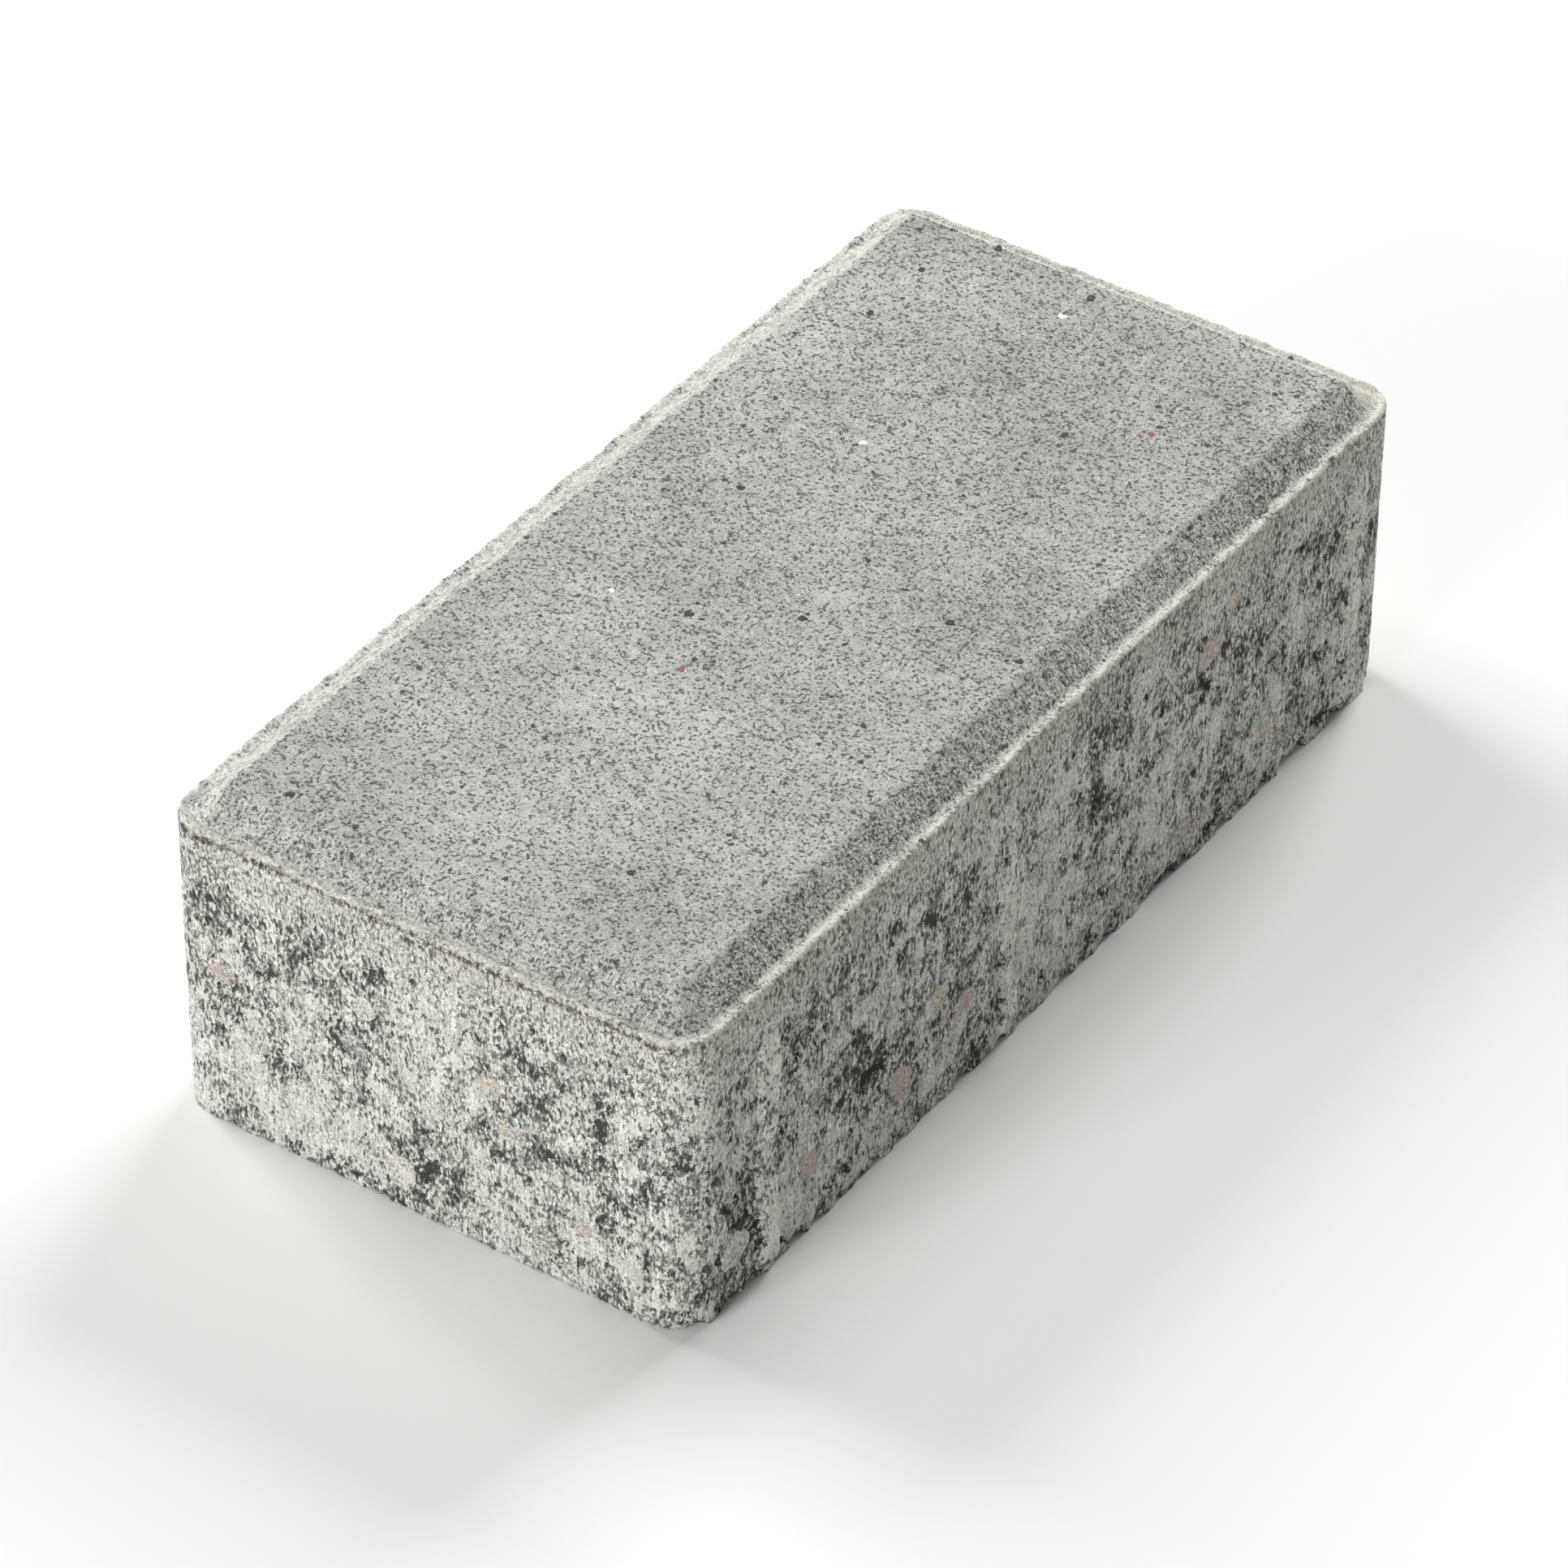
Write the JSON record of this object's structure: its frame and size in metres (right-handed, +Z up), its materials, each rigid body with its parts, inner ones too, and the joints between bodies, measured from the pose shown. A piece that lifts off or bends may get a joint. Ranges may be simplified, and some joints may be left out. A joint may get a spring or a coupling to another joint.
{
  "type": "concrete paving block",
  "caption": "Rectangular two-course concrete paver: fine speckled face with bevelled, lipped edges on a coarse base with rounded corners, spacer nibs and exposed gravel.",
  "frame": {"origin": "middle of the bed face, on the surface that the block rests on", "axes": "+Y along the block's length, +X across its width, +Z up from the bed face to the wearing face"},
  "size_m": [0.1, 0.201, 0.06],
  "materials": {
    "base_concrete": "coarse open-textured dry-cast concrete, matt",
    "face_concrete": "fine dense facing concrete, matt",
    "pale_stone": "pale limestone, matt",
    "dark_stone": "dark basalt, matt",
    "red_stone": "pink to red sandstone, matt",
    "tan_stone": "ochre stone, matt",
    "black_stone": "black basalt chip, slight sheen",
    "white_stone": "white quartz chip, slight sheen"
  },
  "bodies": {
    "root": {"base_course": "base_concrete", "face_course": "face_concrete", "pale_gravel": "pale_stone", "dark_gravel": "dark_stone", "red_gravel": "red_stone", "tan_gravel": "tan_stone", "black_grit": "black_stone", "white_grit": "white_stone", "red_grit": "red_stone"}
  },
  "joints": []
}
